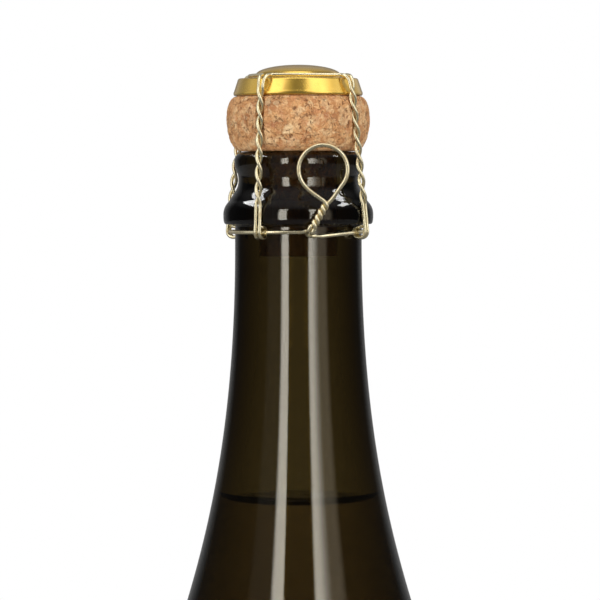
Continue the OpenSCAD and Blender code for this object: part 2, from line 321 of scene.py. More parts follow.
def dress(piece: bpy.types.Object, material: bpy.types.Material, slot: str, body: str,
          *nodes: str) -> bpy.types.Object:
    """Gives a piece its material and its body, and hides the CAD nodes that it stands for.

    Args:
        piece: The piece.
        material: Its finish.
        slot: Name of the record's material slot; not used.
        body: Name of the CAD body that it moves with, or an empty string if it is blended.
        nodes: Names of the CAD nodes that it stands for.

    Returns:
        The same piece.
    """
    piece.data.materials.clear()
    piece.data.materials.append(material)
    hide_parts(*nodes)
    if body:
        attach(piece, body)
    log.info("%s: %d faces, stands for %s", piece.name, len(piece.data.polygons),
             ", ".join(nodes))
    return piece


# Finishes


class Graph:
    """The node tree of a material, a lamp or the world, and short ways to add to it."""

    def __init__(self, owner: bpy.types.Material | bpy.types.World | bpy.types.Light) -> None:
        """Empties the owner's node tree."""
        owner.use_nodes = True
        self.tree = owner.node_tree
        self.tree.nodes.clear()

    def node(self, kind: str, inputs: dict | None = None, **settings: object) -> bpy.types.Node:
        """Adds a node.

        Args:
            kind: Type of the node, without its ShaderNode prefix.
            inputs: Sockets to link, or values to set, by input name or number.
            settings: Properties of the node.

        Returns:
            The new node.
        """
        made = self.tree.nodes.new("ShaderNode" + kind)
        for key, value in settings.items():
            setattr(made, key, value)
        for key, value in (inputs or {}).items():
            if isinstance(value, Socket):
                self.tree.links.new(value, made.inputs[key])
            else:
                made.inputs[key].default_value = value
        return made

    def place(self, scale: tuple[float, float, float] = (1, 1, 1), source: str = "Object",
              turn: tuple[float, float, float] = (0, 0, 0)) -> Socket:
        """Coordinates on the piece, scaled and turned."""
        start = self.node("TexCoord").outputs[source]
        return self.node("Mapping", {"Vector": start, "Scale": scale, "Rotation": turn}).outputs[0]

    def warped(self, at: Socket, scale: float, reach: float) -> Socket:
        """Coordinates pushed about by noise, by half of reach at most, so that cells look torn."""
        cloud = self.node("TexNoise", {"Vector": at, "Scale": scale, "Detail": 3.0}).outputs[1]
        push = self.node("VectorMath", {0: cloud, 1: (0.5, 0.5, 0.5)}, operation="SUBTRACT")
        push = self.node("VectorMath", {0: push.outputs[0], "Scale": reach}, operation="SCALE")
        return self.node("VectorMath", {0: at, 1: push.outputs[0]}, operation="ADD").outputs[0]

    def noise(self, at: Socket, scale: float, detail: float = 4.0, rough: float = 0.55,
              warp: float = 0.0) -> Socket:
        """Cloudy noise from 0 to 1, near 0.5 in most places."""
        return self.node("TexNoise", {"Vector": at, "Scale": scale, "Detail": detail,
                                      "Roughness": rough, "Distortion": warp}).outputs[0]

    def cell(self, at: Socket, scale: float, output: str = "Distance",
             feature: str = "F1") -> Socket:
        """Value of a cellular pattern, such as its distance or its colour."""
        return self.node("TexVoronoi", {"Vector": at, "Scale": scale},
                         feature=feature).outputs[output]

    def maths(self, operation: str, a: Socket | float, b: Socket | float = 0.0) -> Socket:
        """Result of one Math node, held between 0 and 1 only where it says so."""
        return self.node("Math", {0: a, 1: b}, operation=operation).outputs[0]

    def between(self, value: Socket, low: float, high: float, to_low: float = 0.0,
                to_high: float = 1.0) -> Socket:
        """Smooth step of a value from low to high, mapped to the two given results."""
        return self.node("MapRange", {0: value, 1: low, 2: high, 3: to_low, 4: to_high},
                         interpolation_type="SMOOTHSTEP").outputs[0]

    def mix(self, share: Socket | float, a: Socket | Colour, b: Socket | Colour,
            mode: str = "MIX") -> Socket:
        """Colour a mixed towards colour b."""
        return self.node("Mix", {0: share, 6: a, 7: b}, data_type="RGBA",
                         blend_type=mode).outputs[2]

    def ramp(self, value: Socket, *stops: tuple[float, Colour]) -> Socket:
        """Colour ramp over a value."""
        made = self.node("ValToRGB", {0: value})
        made.color_ramp.elements[0].position = stops[0][0]
        made.color_ramp.elements[1].position = stops[-1][0]
        for position, _ in stops[1:-1]:
            made.color_ramp.elements.new(position)
        for element, (_, colour) in zip(made.color_ramp.elements, stops):
            element.color = colour
        return made.outputs[0]

    def bump(self, height: Socket, depth_mm: float, strength: float = 1.0,
             under: Socket | None = None) -> Socket:
        """Normal of a relief that is depth_mm deep where the height goes from 0 to 1."""
        inputs = {"Height": height, "Distance": depth_mm * MM, "Strength": strength}
        if under is not None:
            inputs["Normal"] = under
        return self.node("Bump", inputs).outputs[0]

    def surface(self, volume: Socket | None = None, **inputs: object) -> None:
        """Ends a material in a Principled shader, with words for its inputs joined by _."""
        named = {key.replace("_", " "): value for key, value in inputs.items()}
        shader = self.node("BsdfPrincipled", named)
        ends = {"Surface": shader.outputs[0]}
        if volume is not None:
            ends["Volume"] = volume
        self.node("OutputMaterial", ends)


@dataclass(frozen=True)
class GlassFinish:
    """Dark green-brown bottle glass: the tint lies in the thickness of the wall."""

    tint: Colour = (0.360, 0.285, 0.030, 1)
    density: float = 516.0
    ior: float = 1.52

    def material(self) -> bpy.types.Material:
        """Clear shell with an absorbing body, a slight waviness and a trace of handling haze."""
        made = bpy.data.materials.new("bottle_glass")
        graph = Graph(made)
        at = graph.place()
        wave = graph.noise(graph.place((1, 1, 0.35)), 34, 2)
        haze = graph.noise(at, 260, 5, 0.65)
        body = graph.node("VolumeAbsorption", {"Color": self.tint, "Density": self.density})
        graph.surface(volume=body.outputs[0], Base_Color=(1, 1, 1, 1), IOR=self.ior,
                      Transmission_Weight=1.0, Roughness=graph.between(haze, 0.35, 0.8, 0.012, 0.05),
                      Normal=graph.bump(wave, 0.35, 0.11))
        return made


@dataclass(frozen=True)
class WineFinish:
    """Pale gold sparkling wine."""

    tint: Colour = (1.0, 0.66, 0.34, 1)
    density: float = 13.0
    ior: float = 1.34

    def material(self) -> bpy.types.Material:
        """Clear liquid whose tint deepens with the way that light takes through it."""
        made = bpy.data.materials.new("sparkling_wine")
        graph = Graph(made)
        calm = graph.noise(graph.place(), 90, 2)
        body = graph.node("VolumeAbsorption", {"Color": self.tint, "Density": self.density})
        graph.surface(volume=body.outputs[0], Base_Color=(1, 1, 1, 1), IOR=self.ior,
                      Transmission_Weight=1.0, Roughness=0.0, Normal=graph.bump(calm, 0.05, 0.05))
        return made


@dataclass(frozen=True)
class AgglomeratedCork:
    """Pressed cork granules: each granule has its own tone, and the seams between are darkened with
    painted shade.
    """

    # The darkest granule tone, which is also the colour of the painted shade along the seams and
    # cracks.
    dark: Colour = (0.215, 0.085, 0.032, 1)
    brown: Colour = (0.440, 0.185, 0.072, 1)
    body: Colour = (0.660, 0.312, 0.118, 1)
    light: Colour = (0.780, 0.430, 0.182, 1)
    pale: Colour = (0.900, 0.655, 0.370, 1)
    # Colour of the painted shade in the sunken seams, cracks and pits.
    painted_shade: Colour = (0.170, 0.060, 0.020, 1)

    def material(self) -> bpy.types.Material:
        """Tones read the mesh's granule numbers, painted shade along the seams reads its seam numbers,
        and finer grain lies inside them.
        """
        made = bpy.data.materials.new("agglomerated_cork")
        graph = Graph(made)
        at = graph.warped(graph.place(), 1100, 0.0011)
        granule = graph.node("Attribute", attribute_name="granule").outputs["Fac"]
        seam = graph.node("Attribute", attribute_name="seam").outputs["Fac"]
        tone = graph.ramp(granule, (0.0, self.dark), (0.04, self.brown), (0.24, self.body),
                          (0.70, self.light), (0.96, self.pale))
        crumb = graph.cell(at, 780, "Color")
        fine = graph.ramp(crumb, (0.18, self.brown), (0.38, self.body), (0.62, self.light),
                          (0.85, self.pale))
        colour = graph.mix(0.55, tone, fine)
        cloud = graph.noise(at, 760, 7, 0.75)
        colour = graph.mix(graph.between(cloud, 0.34, 0.50, 0.62, 0.0), colour, self.brown)
        colour = graph.mix(graph.between(cloud, 0.55, 0.70, 0.0, 0.62), colour, self.pale)
        dust = graph.noise(at, 2300, 3, 0.7)
        colour = graph.mix(graph.between(dust, 0.36, 0.50, 0.55, 0.0), colour, self.brown)
        colour = graph.mix(graph.between(dust, 0.52, 0.66, 0.0, 0.40), colour, self.pale)
        # Painted shade: rim darkens the colour along the sunken seams between granules and along the
        # edges of the crack cells.
        crack = graph.cell(at, 560, feature="DISTANCE_TO_EDGE")
        rim = graph.maths("MAXIMUM", graph.between(seam, 0.0, 0.26, 0.26, 0.0),
                          graph.between(crack, 0.0, 0.11, 0.16, 0.0))
        colour = graph.mix(rim, colour, self.dark)
        flush = graph.noise(graph.place(), 420, 3)
        colour = graph.mix(graph.between(flush, 0.52, 0.68, 0.0, 0.30), colour,
                           (0.62, 0.24, 0.12, 1))
        broken = graph.between(graph.noise(graph.place(), 1350, 2), 0.49, 0.60)
        where = graph.maths("MULTIPLY", broken,
                            graph.between(graph.noise(graph.place(), 260, 3, 0.6), 0.38, 0.55))
        cracks = graph.maths("MULTIPLY", graph.between(crack, 0.02, 0.09, 1.0, 0.0), where)
        seams = graph.maths("MULTIPLY", graph.between(seam, 0.0, 0.16, 1.0, 0.0), where)
        pit = graph.cell(graph.warped(graph.place((1.0, 1.0, 0.6), turn=(0.5, 0.4, 0.0)), 900, 0.0016),
                         760)
        pits = graph.maths("MULTIPLY", graph.between(pit, 0.12, 0.34, 1.0, 0.0),
                           graph.between(graph.noise(graph.place(), 560, 2), 0.50, 0.57))
        hollow = graph.maths("MAXIMUM", graph.maths("MULTIPLY", seams, 0.6),
                             graph.maths("MAXIMUM", graph.maths("MULTIPLY", cracks, 0.75), pits))
        # Painted shade: the hollows (sunken seams, cracks and pits) take the dark shade colour, and
        # the bump below sinks them too.
        colour = graph.mix(graph.maths("MULTIPLY", hollow, 0.82), colour, self.painted_shade)
        grain = graph.noise(at, 3000, 4, 0.7)
        height = graph.maths("SUBTRACT", graph.maths("ADD", grain, cloud),
                             graph.maths("MULTIPLY", hollow, 1.5))
        graph.surface(Base_Color=colour, Roughness=graph.between(cloud, 0.3, 0.7, 0.66, 0.86),
                      Specular_IOR_Level=0.25, Normal=graph.bump(height, 0.22, 0.9))
        return made


@dataclass(frozen=True)
class NaturalCork:
    """Disc of whole cork: pale, with yearly bands and dark pores across them."""

    pale: Colour = (0.700, 0.470, 0.270, 1)
    body: Colour = (0.560, 0.340, 0.180, 1)
    pore: Colour = (0.190, 0.090, 0.045, 1)

    def material(self) -> bpy.types.Material:
        """Bands are stretched noise along X, and pores are a cellular pattern drawn out level."""
        made = bpy.data.materials.new("natural_cork")
        graph = Graph(made)
        bands = graph.noise(graph.place((1.0, 0.12, 0.12)), 900, 3, 0.6, 0.4)
        colour = graph.mix(graph.between(bands, 0.4, 0.62), self.pale, self.body)
        pore = graph.cell(graph.place((1.0, 1.0, 0.35)), 480)
        pores = graph.maths("MULTIPLY", graph.between(pore, 0.10, 0.26, 1.0, 0.0),
                            graph.between(graph.noise(graph.place(), 300, 2), 0.48, 0.58))
        colour = graph.mix(pores, colour, self.pore)
        height = graph.maths("SUBTRACT", graph.noise(graph.place(), 1800, 4), pores)
        graph.surface(Base_Color=colour, Roughness=0.78, Specular_IOR_Level=0.25,
                      Normal=graph.bump(height, 0.10, 0.5))
        return made


@dataclass(frozen=True)
class GildedTin:
    """Thin tinplate under a clear gold lacquer."""

    gold: Colour = (0.930, 0.605, 0.110, 1)
    worn: Colour = (0.830, 0.520, 0.080, 1)

    def material(self) -> bpy.types.Material:
        """Gold lacquer with soft clouds, faint scratches and the ripple of stamped sheet."""
        made = bpy.data.materials.new("gilded_tin")
        graph = Graph(made)
        at = graph.place()
        cloud = graph.noise(at, 240, 5, 0.6)
        colour = graph.mix(graph.between(cloud, 0.35, 0.7), self.gold, self.worn)
        scratch = graph.noise(graph.place((1.0, 0.05, 1.0), turn=(0.3, 0.2, 0.7)), 2400, 3, 0.7)
        rub = graph.between(scratch, 0.60, 0.72)
        ripple = graph.noise(at, 130, 2)
        graph.surface(Base_Color=colour, Metallic=1.0,
                      Roughness=graph.between(graph.maths("ADD", cloud, rub), 0.4, 1.5, 0.27, 0.42),
                      Coat_Weight=0.55, Coat_Roughness=0.15, Coat_IOR=1.6,
                      Normal=graph.bump(rub, 0.01, 0.3, graph.bump(ripple, 0.5, 0.35)))
        return made


@dataclass(frozen=True)
class TemperedWire:
    """Soft steel wire with a thin pale brass coat, dulled by the twisting machine."""

    bright: Colour = (0.945, 0.850, 0.570, 1)
    dull: Colour = (0.800, 0.630, 0.340, 1)

    def material(self) -> bpy.types.Material:
        """Drawing lines run along the wire in its UV map, with duller patches between them."""
        made = bpy.data.materials.new("tempered_wire")
        graph = Graph(made)
        lines = graph.noise(graph.place((9.0, 0.35, 1.0), "UV"), 3.0, 4, 0.65)
        patch = graph.noise(graph.place(), 620, 4, 0.6)
        colour = graph.mix(graph.between(graph.maths("ADD", lines, patch), 0.9, 1.35),
                           self.bright, self.dull)
        graph.surface(Base_Color=colour, Metallic=1.0,
                      Roughness=graph.between(patch, 0.3, 0.75, 0.23, 0.35),
                      Normal=graph.bump(lines, 0.02, 0.3))
        return made


@dataclass(frozen=True)
class PaleFloor:
    """Matt pale studio floor that runs out into the white of the background."""

    paper: Colour = (0.80, 0.80, 0.79, 1)
    fade_from: float = 0.35
    fade_to: float = 1.25
    mirrored: float = 0.2

    def material(self) -> bpy.types.Material:
        """Paper near the bottle, plain white where seen farther out, and dim in reflections."""
        made = bpy.data.materials.new("pale_floor")
        graph = Graph(made)
        at = graph.place()
        far = graph.between(graph.node("VectorMath", {0: at}, operation="LENGTH").outputs["Value"],
                            self.fade_from, self.fade_to)
        path = graph.node("LightPath").outputs
        seen = graph.maths("MAXIMUM", path["Is Camera Ray"], path["Is Transmission Ray"])
        paper = graph.node("BsdfPrincipled", {
            "Base Color": graph.mix(graph.between(graph.noise(at, 9, 3), 0.3, 0.7, 0.0, 0.25),
                                    self.paper, (0.76, 0.76, 0.75, 1)),
            "Roughness": 0.7})
        white = graph.node("Emission", {"Color": (1, 1, 1, 1), "Strength": 1.0})
        mixed = graph.node("MixShader", {0: graph.maths("MULTIPLY", far, seen),
                                         1: paper.outputs[0], 2: white.outputs[0]})
        dim = graph.node("Emission", {"Color": (1, 1, 1, 1), "Strength": self.mirrored})
        mirror = graph.maths("SUBTRACT", path["Is Glossy Ray"], path["Is Transmission Ray"])
        shown = graph.node("MixShader", {0: mirror, 1: mixed.outputs[0], 2: dim.outputs[0]})
        graph.node("OutputMaterial", {"Surface": shown.outputs[0]})
        return made


# Sub-assemblies


@dataclass
class Bottle:
    """The glass bottle and the wine in it."""

    barrel_r: float = 44.25
    neck_r: float = 14.36
    lip_r: float = 14.5
    ring_r: float = 17.0
    bore_r: float = 8.9
    bore_depth: float = 27.0
    neck_depth: float = 20.6
    wall: float = 4.9
    floor: float = 6.5
    shoulder_z: float = 109.0
    upper_handle: float = 90.312
    lower_handle: float = 68.586
    foot_in: float = 32.5
    foot_out: float = 35.5
    punt_h: float = 36.0
    heel_h: float = 11.0
    fill_depth: float = 80.0
    meniscus: float = 2.2
    capillary: float = 1.15
    segments: int = 192
    glass: GlassFinish = field(default_factory=GlassFinish)
    drink: WineFinish = field(default_factory=WineFinish)

    def shoulder(self, t: np.ndarray) -> np.ndarray:
        """Radius and height of the outside along the shoulder, a cubic with upright handles."""
        top = LIP_Z - self.neck_depth
        return cubic([self.neck_r, top], [self.neck_r, top - self.upper_handle],
                     [self.barrel_r, self.shoulder_z + self.lower_handle],
                     [self.barrel_r, self.shoulder_z], t)

    def inside(self, t: np.ndarray) -> np.ndarray:
        """The shoulder less a wall that thins from the neck's to the barrel's."""
        neck_wall = self.neck_r - self.bore_r
        wall = neck_wall + (self.wall - neck_wall) * np.minimum(1, 1.6 * t)
        return self.shoulder(t) - np.stack([wall, np.zeros_like(t)], -1)

    def finish(self) -> np.ndarray:
        """Outside from the mouth's edge over the lip, the groove and the ring to the neck."""
        lip, ring, neck = self.lip_r, self.ring_r, self.neck_r
        a = np.radians(np.linspace(90, 0, 13))
        rounded = np.stack([lip - 2.1 + 2.1 * np.cos(a), -2.1 + 2.1 * np.sin(a)], -1)
        parts = [
            line([self.bore_r + 0.9, 0], [lip - 2.1, 0], 4)[:-1], rounded,
            bend([lip, -2.1], [lip, -4.2], [lip - 0.95, -4.6], [lip - 0.95, -6.2], 14),
            bend([lip - 0.95, -6.2], [lip - 0.95, -8.6], [lip + 0.1, -9.1],
                 [ring - 1.35, -11.1], 18),
            bend([ring - 1.35, -11.1], [ring - 0.5, -12], [ring, -12.9], [ring, -14.2], 14),
            bend([ring, -14.2], [ring, -15.6], [ring - 0.1, -16.4], [ring - 0.7, -16.4], 14),
            line([ring - 0.7, -16.4], [neck + 0.6, -16.4], 3),
            bend([neck + 0.6, -16.4], [neck + 0.2, -16.4], [neck, -16.6], [neck, -17], 8),
            line([neck, -17], [neck, -self.neck_depth], 4)[:-1],
        ]
        return np.concatenate(parts) + [0, LIP_Z]

    def heel(self, inset: float, lift: float, edge: float) -> np.ndarray:
        """Rounded heel from the barrel down to its foot, inside by inset and lifted by lift."""
        outside = self.barrel_r - inset
        rising = cubic([edge, lift], [edge + 5.4, lift], [outside, lift + 0.35 * self.heel_h],
                       [outside, lift + self.heel_h], np.linspace(0, 1, 18))
        return rising[::-1]

    def punt(self, lift: float, shrink: float) -> np.ndarray:
        """Hollow under the bottle, from its foot ring up to its middle."""
        edge = self.foot_in - shrink
        return cubic([edge, lift], [edge - 2.5, lift + 0.55 * self.punt_h],
                     [0.62 * self.foot_in, lift + self.punt_h], [0, lift + self.punt_h],
                     np.linspace(0, 1, 30))

    def cavity(self, shrink: float) -> np.ndarray:
        """Inside from the bore down to the middle of the floor, drawn in by shrink."""
        t = np.linspace(2 / 26, 1, 86)
        heel = self.heel(self.wall + shrink, self.floor + shrink, self.foot_out - 2)
        return np.concatenate([self.inside(t) - [shrink, 0],
                               line([heel[0][0], self.shoulder_z], heel[0], 8)[:-1], heel,
                               self.punt(self.floor + shrink, 0.4)])

    def outline(self) -> np.ndarray:
        """Closed outline of the glass: over the outside, under the foot and up the inside."""
        a = np.radians(np.linspace(180, 100, 7))
        mouth = np.stack([self.bore_r + 0.9 + 0.9 * np.cos(a), LIP_Z - 0.9 + 0.9 * np.sin(a)], -1)
        bore_low = [self.bore_r, LIP_Z - self.bore_depth]
        heel = self.heel(0, 0, self.foot_out)
        return np.concatenate([
            [bore_low], line(bore_low, mouth[0], 8)[:-1], mouth, self.finish(),
            self.shoulder(np.linspace(0, 1, 96)),
            line([self.barrel_r, self.shoulder_z], heel[0], 12)[:-1], heel,
            self.punt(0, 0), self.cavity(0)[::-1]])

    def wine_outline(self) -> np.ndarray:
        """Surface of the wine with its raised edge, then the inside, sunk a little into the glass.

        The edge climbs the wall as the exponential of minus the distance from it over a capillary
        length. The overlap of wine and wall lets light pass from glass to wine with no air between.
        """
        level = LIP_Z - self.fill_depth
        inside = self.cavity(-0.05)
        edge_z = level + self.meniscus
        falling = inside[:60]
        edge = float(np.interp(-edge_z, -falling[:, 1], falling[:, 0]))
        away = np.concatenate([np.linspace(edge, 6, 12), np.linspace(5.4, 0, 40)])
        climb = self.meniscus * np.exp(-away / self.capillary)
        skin = np.stack([edge - away, level + climb], -1)
        return np.concatenate([skin, inside[inside[:, 1] < edge_z - 0.3]])

    def build(self) -> None:
        """Makes the glass and the wine, and hangs both on the bottle's body."""
        glass = piece_from_grid("glass_shell", revolve(self.outline(), self.segments), True)
        dress(glass, self.glass.material(), "glass", "bottle", "glass_bottle")
        wine = piece_from_grid("wine_fill", revolve(self.wine_outline(), self.segments))
        dress(wine, self.drink.material(), "wine", "bottle", "wine")


@dataclass
class WireCage:
    """The frame's four twisted legs, the belt under the ring and the twisted closing loop."""

    strand_r: float = 0.39
    half_turns: int = 7
    leg_turn: float = -31.0
    crown_turn: float = -5.0
    crown_skew: float = 3.8
    crown_z: float = 17.21
    crown_mid_r: float = 10.81
    corner_r: float = 13.8
    leg_top: tuple[float, float] = (15.67, 14.35)
    leg_low: tuple[float, float] = (17.55, -15.2)
    twist_low: float = -11.5
    swing: float = 4.5
    hook_at: tuple[float, float] = (16.33, -18.16)
    hook_half: tuple[float, float] = (1.48, 1.28)
    belt_ring_r: float = 15.84
    belt_rise: float = -18.1
    belt_r: float = 0.46
    belt_half: float = 0.5
    belt_first: float = 20.0
    belt_last: float = 362.0
    droop: float = 0.9
    stub_x: float = 2.6
    stub_rise: float = -18.05
    stub_start: float = 17.3
    loop_y: float = 18.26
    lean: float = 30.0
    shank_l: float = 7.2
    shank_start: float = 1.26
    loop_half_turns: float = 4.5
    eye_r: float = 5.44
    sides: int = 16
    metal: TemperedWire = field(default_factory=TemperedWire)

    @property
    def pair_half(self) -> float:
        """Half the distance between the two strands of a leg."""
        return self.strand_r + 0.15

    def top_turn(self, turn: float) -> float:
        """Turn of a leg's top against its hook, where the crown is a little out of square."""
        even = self.turns().index(turn) % 2 == 0
        return self.crown_turn + (self.crown_skew if even else -self.crown_skew)

    def share(self, rise: np.ndarray) -> np.ndarray:
        """How far down a leg a rise is, from 0 at its top to 1 at its hook."""
        return (self.leg_top[1] - rise) / (self.leg_top[1] - self.leg_low[1])

    def leg_turn_at(self, turn: float, rise: np.ndarray) -> np.ndarray:
        """Turn angle of a leg, which leans because the crown is turned against the hooks.

        The back left leg leans further round than the others, by the swing at its hook.

        Args:
            turn: Turn angle that the leg is named by.
            rise: Rises over the lip.

        Returns:
            Turn angles in degrees.
        """
        share = np.clip(self.share(rise), 0, 1)
        last = self.swing if turn == self.turns()[LegPlace.BACK_LEFT.value] else 0.0
        return turn + self.top_turn(turn) * (1 - share) + last * share

    def leg_radius(self, rise: np.ndarray) -> np.ndarray:
        """Distance of a leg's middle line from the axis."""
        return self.leg_top[0] + (self.leg_low[0] - self.leg_top[0]) * self.share(rise)

    def turns(self) -> list[float]:
        """Turn angles of the four hooks."""
        return [self.leg_turn + 90 * place.value for place in LegPlace]

    def pair(self, turn: float, radius: np.ndarray, rise: np.ndarray, phase: np.ndarray,
             spread: np.ndarray | float | None = None) -> np.ndarray:
        """Points of one strand of a pair, with the level direction across as their guide.

        The strand stands off the pair's middle by half their distance: its sine outwards and its
        cosine across.

        Args:
            turn: Turn angle of the leg's hook.
            radius: Radius of the middle line.
            rise: Rise of the middle line.
            phase: Angle of the strand about the middle line, in degrees.
            spread: Half the distance between the strands, if it isn't the usual one.

        Returns:
            Rows of a point and a guide, six numbers each.
        """
        rise = np.atleast_1d(np.asarray(rise, float))
        half = self.pair_half if spread is None else spread
        a, phase = self.leg_turn_at(turn, rise), np.radians(phase)
        side = across(a)
        points = around(a, radius + half * np.sin(phase), rise)
        points = points + side * np.broadcast_to(half * np.cos(phase), rise.shape)[:, None]
        return np.concatenate([points, side], -1)

    def strand(self, turn: float, which: Strand) -> np.ndarray:
        """One strand from the middle of a crown side, down the twisted leg and round the hook.

        Args:
            turn: Turn angle of the leg's hook.
            which: Strand of the pair.

        Returns:
            Rows of a point and a guide, six numbers each.
        """
        share = np.linspace(1, 0.095, 40)
        radius = self.crown_mid_r / np.cos(np.radians(38.5 * (1 - share)))
        corner = self.crown_turn * share + self.top_turn(turn) * (1 - share)
        crown = around(turn + corner + which.value * 45 * share, radius, self.crown_z)
        crown = np.concatenate([crown, np.tile([0, 0, 1.0], (40, 1))], -1)

        top = cubic([self.corner_r, self.crown_z], [self.leg_top[0] - 0.75, self.crown_z - 0.1],
                    [self.leg_top[0] - 0.12, self.leg_top[1] + 1.8], self.leg_top,
                    np.linspace(0.15, 0.95, 14))
        opening = self.pair_half + 0.45 * np.linspace(1, 0, 14) ** 1.6
        shoulder = self.pair(turn, top[:, 0], top[:, 1], which.phase, opening)
        ease = np.linspace(0.85, 0, 14)[:, None]
        shoulder[:, 3:] = (1 - ease) * shoulder[:, 3:] + ease * np.array([0, 0, 1.0])

        steps = np.linspace(0, 1, 30 * self.half_turns)
        rise = self.leg_top[1] + (self.twist_low - self.leg_top[1]) * steps
        twist = self.pair(turn, self.leg_radius(rise), rise,
                          which.phase - 180 * self.half_turns * steps)

        low = which.phase + 180 * self.half_turns
        drop = line([self.leg_radius(self.twist_low), self.twist_low], self.leg_low, 12)
        at, half = np.array(self.hook_at), np.array(self.hook_half)
        outer = at + [half[0], 0]
        enter = bend(self.leg_low, self.leg_low - np.array([0, 1.2]), outer + [0, 1.1], outer, 14)
        a = np.radians(np.linspace(4, 276, 50))
        eyelet = at + half * np.stack([np.cos(a), -np.sin(a)], -1)
        rest = np.concatenate([drop, enter, eyelet])
        hook = self.pair(turn, rest[:, 0], rest[:, 1], low)
        ease = np.clip((np.arange(len(hook)) - len(hook) + 12) / 8, 0, 1)[:, None]
        radial = outward(self.leg_turn_at(turn, rest[:, 1]))
        up = np.array([0, 0, 1.0])
        normal = np.cos(a[-1]) * radial + np.sin(-a[-1]) * up
        hook[:, 3:] = (1 - ease) * hook[:, 3:] + ease * normal
        return np.concatenate([crown, shoulder, twist, hook])

    def leg(self, turn: float) -> np.ndarray:
        """A leg as one hairpin: down the first strand, over the closed hook and up the second.

        The closed end is half a circle across, from one strand to the other.

        Args:
            turn: Turn angle of the leg's hook.

        Returns:
            Rows of a point and a guide, six numbers each.
        """
        down, up = self.strand(turn, Strand.FIRST), self.strand(turn, Strand.SECOND)
        a = np.radians(np.linspace(20, 160, 8))
        middle = (down[-1, :3] + up[-1, :3]) / 2
        half = (down[-1, :3] - up[-1, :3]) / 2
        onward = unit(down[-1, :3] - down[-2, :3]) * np.linalg.norm(half)
        bight = middle + np.cos(a)[:, None] * half + np.sin(a)[:, None] * onward
        bight = np.concatenate([bight, np.broadcast_to(down[-1, 3:], bight.shape)], -1)
        return settle(np.concatenate([down, bight, up[::-1]]), 0.2, 5)

    def belt_point(self, turn: np.ndarray | float) -> np.ndarray:
        """Points of the belt, which is drawn in between the hooks and droops beside the twist."""
        sag = self.droop * np.maximum(0, 1 - np.abs(turn - self.belt_first) / 40) ** 1.3
        drawn = 0.55 * np.sin(np.radians(2 * (turn - self.leg_turn))) ** 2
        return around(turn, self.belt_ring_r - drawn, self.belt_rise - sag)

    def belt(self) -> np.ndarray:
        """The belt from its right tail, round the neck through the hooks, to its left tail."""
        def end(side: int) -> np.ndarray:
            """Where a tail meets the twist."""
            return np.array([self.stub_x + side * self.belt_half, 0.1 - self.stub_start,
                             LIP_Z + self.stub_rise])

        right, left = end(-1), end(1)
        low = right + [1, 1.2, -self.droop]
        start, stop = self.belt_point(self.belt_first), self.belt_point(self.belt_last)
        right_tail = np.concatenate([
            bend(start, start - 1.2 * across(self.belt_first), low + [1, 0, 0], low, 16),
            bend(low, low - [1.5, 0.1, 0], right + [-0.25, 1, -0.1], right + [0, 0.3, 0], 24),
            [right + [0, 0.15, 0], right]])
        left_tail = np.concatenate([
            bend(stop, stop + 1.5 * across(self.belt_last) + [0, 0, 0.3], left + [0, 1.6, 0.6],
                 left + [0, 0.3, 0], 30), [left + [0, 0.15, 0], left]])
        middle = self.belt_point(np.arange(self.belt_first, self.belt_last, 1.5))
        points = np.concatenate([right_tail[::-1], middle, left_tail])
        guide = np.tile([0, 0, 1.0], (len(points), 1))
        return settle(np.concatenate([points, guide], -1), 0.18, 6)

    def closing_twist(self) -> np.ndarray:
        """The belt's two tails as one wire: out, up the twisted shank, round the eye and back.

        The middle line leaves the belt forwards, turns up a quarter circle into the leaning shank,
        and each strand stands off it at a phase that grows evenly up the shank.

        Returns:
            Rows of a point and a guide, six numbers each.
        """
        lean = math.radians(self.lean)
        up = np.array([math.sin(lean), 0, math.cos(lean)])
        side = np.array([math.cos(lean), 0, -math.sin(lean)])
        front = np.array([0, -1.0, 0])
        turn_r = 0.65
        root = np.array([self.stub_x, 0, LIP_Z + self.stub_rise])
        out = self.loop_y - turn_r
        a = np.linspace(0, np.pi / 2, 10)[:, None]
        straight = root + np.linspace(self.stub_start - 0.07, out, 6)[:-1, None] * front
        elbow = root + (out + turn_r * np.sin(a)) * front + turn_r * (1 - np.cos(a)) * up
        s = np.linspace(turn_r + 0.1, self.shank_l, 110)[:, None]
        shank = root + self.loop_y * front + s * up
        centre = np.concatenate([straight, elbow, shank])

        swing = np.concatenate([np.linspace(0, 1, 5), np.ones(120)])[:, None]
        off = unit((1 - swing) * np.array([1.0, 0, 0]) + swing * side)
        climb = (self.shank_l - self.shank_start) / (180 * self.loop_half_turns)
        phase = np.maximum(0, s - self.shank_start) / climb
        phase = np.radians(np.concatenate([np.zeros((15, 1)), phase]))
        guide = np.concatenate([np.tile(up, (5, 1)), -front * np.sin(a) + up * np.cos(a),
                                np.tile(-front, (110, 1))])

        def strand(which: Strand) -> np.ndarray:
            """One strand of the twisted pair."""
            turned = which.value * self.belt_half * (np.cos(phase) * off + np.sin(phase) * front)
            return np.concatenate([centre + turned, guide], -1)

        right, left = strand(Strand.SECOND), strand(Strand.FIRST)
        eye = centre[-1] + [-0.66, 0, math.sqrt(2) * self.eye_r]
        ring_a = np.radians(np.arange(-39, 222, 4.0))[:, None]
        ring = eye + self.eye_r * (np.cos(ring_a) * np.array([1.0, 0, 0])
                                   + np.sin(ring_a) * np.array([0, 0, 1.0]))
        enter = bend(right[-1, :3], right[-1, :3] + 0.9 * up + 0.75 * side,
                     ring[0] - 1.8 * unit(ring[1] - ring[0]), ring[0], 16)[:-1]
        leave = bend(ring[-1], ring[-1] + 2.6 * unit(ring[-1] - ring[-2]),
                     left[-1, :3] + 0.7 * up - 0.7 * side, left[-1, :3], 16)[:-1]
        loop = np.concatenate([enter, ring, leave])
        loop = np.concatenate([loop, np.tile(-front, (len(loop), 1))], -1)
        return settle(np.concatenate([right, loop, left[::-1]]), 0.1, 4)

